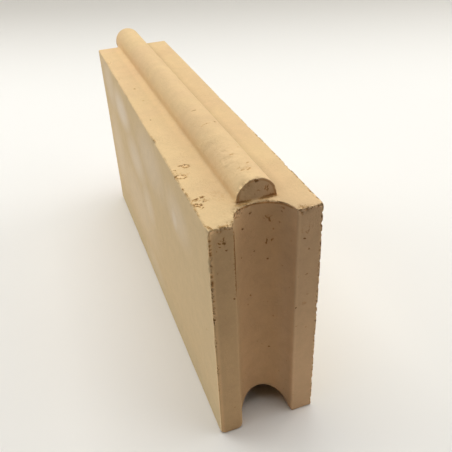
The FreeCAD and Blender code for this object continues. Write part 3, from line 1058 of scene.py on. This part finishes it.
        # Crumbs are paler than the clay, and on the near end they also get a painted highlight, as crumbs
        # that catch the light from above.
        pale_crumbs_and_highlight = 0.3 + self.end * 0.24 + self.raised * (0.2 - self.end * 0.6) - self.cheek * 0.2
        pale_crumbs_and_highlight = self.crumbs * pale_crumbs_and_highlight
        # All of it together, with a painted highlight on the top of each lifted flake.
        light_and_grain = 1 + painted_light_at_foot + painted_light_rightwards - root_shade + far_light - near_shade + painted_lip_highlight
        light_and_grain = light_and_grain + sandy + pale_crumbs_and_highlight + painted_light_before_tongue + self.flake_top_highlight * 0.07
        # Painted light along the near left arris, on both its sides, which are in shade.
        arris_light_on_end = self.fade(along, near + 2.5, near + 1.2) * self.end * 0.2
        arris_light_on_cheek = self.fade(along, near + 1.6, near + 0.8) * self.cheek * 0.35
        painted_arris_light = self.fade(across, 2.8 - half, 1.2 - half) * (arris_light_on_end + arris_light_on_cheek)
        # The broken near left corner gets painted light as well.
        return light_and_grain + self.broken_corner_and_light * (0.1 + self.end * 0.2) + painted_arris_light

    def shaded_and_stained(self, clay):
        """Painted shade in the tunnel, and brown in the marks and shadow lines: a tint round, a dark
        middle.
        """
        # Painted shade: the groove's walls in the tunnel under the brick turn dark grey.
        tunnel_shade = self.band(self.along, near + 9, near + 15, far - 12, far - 1)
        tunnel_shade = tunnel_shade * self.band(self.height, 1.5, 4.0, 12.5, 14.0) * self.end
        clay = self.mix(tunnel_shade * 0.55, clay, TUNNEL_SHADE)
        clay = self.mix(self.fade(self.dark, 0.0, 0.5) * 0.8, clay, STAIN_AND_SHADE, "MULTIPLY")
        return self.mix(self.fade(self.dark, 0.35, 1.0) * 0.85, clay, MARK_AND_SHADOW_BROWN)

    def relief(self):
        """Grain, mottling, sunk marks, wrinkles and crumbs, as a bump in millimetres."""
        wrinkled = self.noise(self.bent, WRINKLE_SIZE, 1.0, 0.5) - 0.5
        scuffed = self.fade(self.noise(self.place, SCUFF_SIZE, 2.0), 0.48, 0.6) * (1 - self.cheek)
        sunk_in = self.larger(self.pits, self.larger(self.chips, self.cracks))
        height = (self.grain - 0.5) * (0.14 + scuffed * 0.3) + (self.mottle - 0.5) * 0.3 - sunk_in * 0.5
        wrinkled = wrinkled * round_mask(self, self.place, WRINKLES, *PATCH_FADE)
        height = height + wrinkled * WRINKLE_RELIEF
        crumbs = self.crumble - 0.5
        height = height + crumbs * (self.crumbly * CRUMB_RELIEF + self.torn * 0.5 + scuffed * 0.25)
        values = {"Height": height, "Distance": 1 / PER_METRE, "Strength": BUMP_STRENGTH}
        return self.node("Bump", {}, values)


def fireclay():
    """The finish, layer by layer, as one dull material."""
    material = bpy.data.materials.new("fireclay")
    clay = Clay(material)
    clay.find_place()
    clay.add_noises()
    clay.find_marks()
    clay.find_chips()
    colour = clay.fired_colour()
    # The painted light and shade, with the grain, multiply the fired colour.
    light_and_grain = clay.painted_light_and_grain()
    shade = clay.node("CombineColor", {}, {0: light_and_grain, 1: light_and_grain, 2: light_and_grain})
    colour = clay.mix(1.0, colour, shade, "MULTIPLY")
    colour = clay.shaded_and_stained(colour)
    shader = {"Base Color": colour, "Roughness": 0.92, "Specular IOR Level": 0.25}
    shader["Normal"] = clay.relief()
    surface = clay.node("BsdfPrincipled", {}, shader)
    clay.node("OutputMaterial", {}, {"Surface": surface})
    return material


brick = bpy.data.objects.new("firebrick_skin", brick_mesh)
bpy.context.scene.collection.objects.link(brick)
brick_mesh.materials.append(fireclay())
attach(brick, "root")
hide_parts("firebrick")

# %% [markdown]
# ## The camera
#
# The brick is seen from above its near left corner. The place and the turn were found by fitting
# the brick's known edges to the picture, with the lens left free as well.

# %% Camera
LENS = 44.70
CAMERA_PLACE = (-72.462, -296.152, 243.914)
CAMERA_TURN = (55.655, 2.321, -19.973)

camera_data = bpy.data.cameras.new("camera")
camera_data.lens = LENS
camera_data.sensor_width = 36.0
camera_data.clip_start = 0.01
camera = bpy.data.objects.new("camera", camera_data)
camera.location = np.array(CAMERA_PLACE) / PER_METRE
camera.rotation_euler = np.radians(CAMERA_TURN)
bpy.context.scene.collection.objects.link(camera)
bpy.context.scene.camera = camera

# %% [markdown]
# ## The floor
#
# The brick stands on a pale sheet that curves up behind it, as on a product table. Towards the back
# it turns a little grey, a painted shade for the light that falls off there. The sheet is a profile,
# flat and then a quarter circle, carried sideways. It is long enough in front that its edge is far off
# from every side.

# %% Floor
FLOOR_REACH = 1.1
SWEEP_START = 0.75
SWEEP_RADIUS = 0.6
SWEEP_HEIGHT = 1.5
SHADE_STARTS = 0.3
SHADE_ENDS = 0.96


def sheet_profile():
    """Distance and height along the sheet: the flat, a quarter circle, then straight up."""
    angle = np.linspace(0, np.pi / 2, 25)
    away = SWEEP_START + SWEEP_RADIUS * np.sin(angle)
    up = SWEEP_RADIUS * (1 - np.cos(angle))
    away = np.concatenate([[-FLOOR_REACH, 0], away, away[-1:]])
    up = np.concatenate([[0, 0], up, [SWEEP_HEIGHT]])
    return away, up


def backdrop_sheet():
    """The profile carried sideways, turned to face the camera."""
    away, up = sheet_profile()
    side = np.linspace(-FLOOR_REACH, FLOOR_REACH, 5)
    turn = math.radians(CAMERA_TURN[2])
    x = side[:, None] * math.cos(turn) - away[None] * math.sin(turn)
    y = side[:, None] * math.sin(turn) + away[None] * math.cos(turn)
    points = np.stack([x, y, np.broadcast_to(up, x.shape)], axis=-1)
    mesh = bpy.data.meshes.new("floor_sheet")
    faces = grid_faces(len(side), len(away), 0, False)
    mesh.from_pydata(points.reshape(-1, 3), [], faces.tolist())
    mesh.shade_smooth()
    sheet = bpy.data.objects.new("floor_sheet", mesh)
    bpy.context.scene.collection.objects.link(sheet)
    material = bpy.data.materials.new("pale_sheet")
    finish = Finish(material)
    position = finish.node("TexCoord", {}, {}, "Object")
    backwards = (-math.sin(turn), math.cos(turn), 0.0)
    distance = finish.vector("DOT_PRODUCT", position, backwards, 1)
    # Painted shade: the sheet greys towards the back, where less light would fall.
    shade_to_the_back = finish.fade(distance, SHADE_STARTS, SHADE_ENDS)
    paper_and_shade = finish.mix(shade_to_the_back, rgb(250, 248, 242), rgb(205, 201, 193))
    values = {"Base Color": paper_and_shade, "Roughness": 0.9, "Specular IOR Level": 0.2}
    surface = finish.node("BsdfPrincipled", {}, values)
    finish.node("OutputMaterial", {}, {"Surface": surface})
    mesh.materials.append(material)
    return sheet


backdrop_sheet()

# %% [markdown]
# ## Light
#
# One large soft lamp hangs above, and weaker ones to the left and the right fill in, so that the
# left face and still more the near end are in shade. Places and sizes are in metres, powers in
# watts. The lamps light the scene, and more light and shade is painted into the clay's colour and
# the sheet's grey.

# %% Lamps
def lamp(name, place, size, power):
    """A square soft lamp that looks at the middle of the brick."""
    data = bpy.data.lights.new(name, "AREA")
    data.shape = "SQUARE"
    data.size = size
    data.energy = power
    made = bpy.data.objects.new(name, data)
    made.location = place
    x, y, z = np.array([0, 0, 0.06]) - np.array(place)
    made.rotation_euler = (math.atan2(math.hypot(x, y), -z), 0, math.atan2(x, -y) + math.pi)
    bpy.context.scene.collection.objects.link(made)


lamp("ceiling_lamp", (0.0, 0.2, 1.5), 1.5, 17.7)
lamp("right_lamp", (1.4, 0.1, 0.9), 1.0, 8.1)
lamp("front_lamp", (1.1, -0.9, 1.2), 1.0, 4.4)
lamp("left_lamp", (-1.1, 0.8, 0.9), 1.0, 5.8)
lamp("low_lamp", (-1.0, 0.9, 0.35), 0.6, 2.8)

# %% [markdown]
# The room around the lamps is only seen, past the sheet's edges. So it shows to the camera, and in
# mirrors and through glass, and gives no light.

# %% The room
ROOM_COLOUR = rgb(243, 242, 238)

world = bpy.data.worlds.new("room")
bpy.context.scene.world = world
room = Finish(world)
seen = room.node("LightPath", {}, {}, "Is Camera Ray")
mirrored_in = room.node("LightPath", {}, {}, "Is Glossy Ray")
seen_through = room.node("LightPath", {}, {}, "Is Transmission Ray")
strength = room.larger(room.larger(seen, mirrored_in), seen_through)
backdrop = room.node("Background", {}, {"Color": ROOM_COLOUR, "Strength": strength})
room.node("OutputWorld", {}, {"Surface": backdrop})
bpy.context.scene.view_settings.view_transform = "Standard"
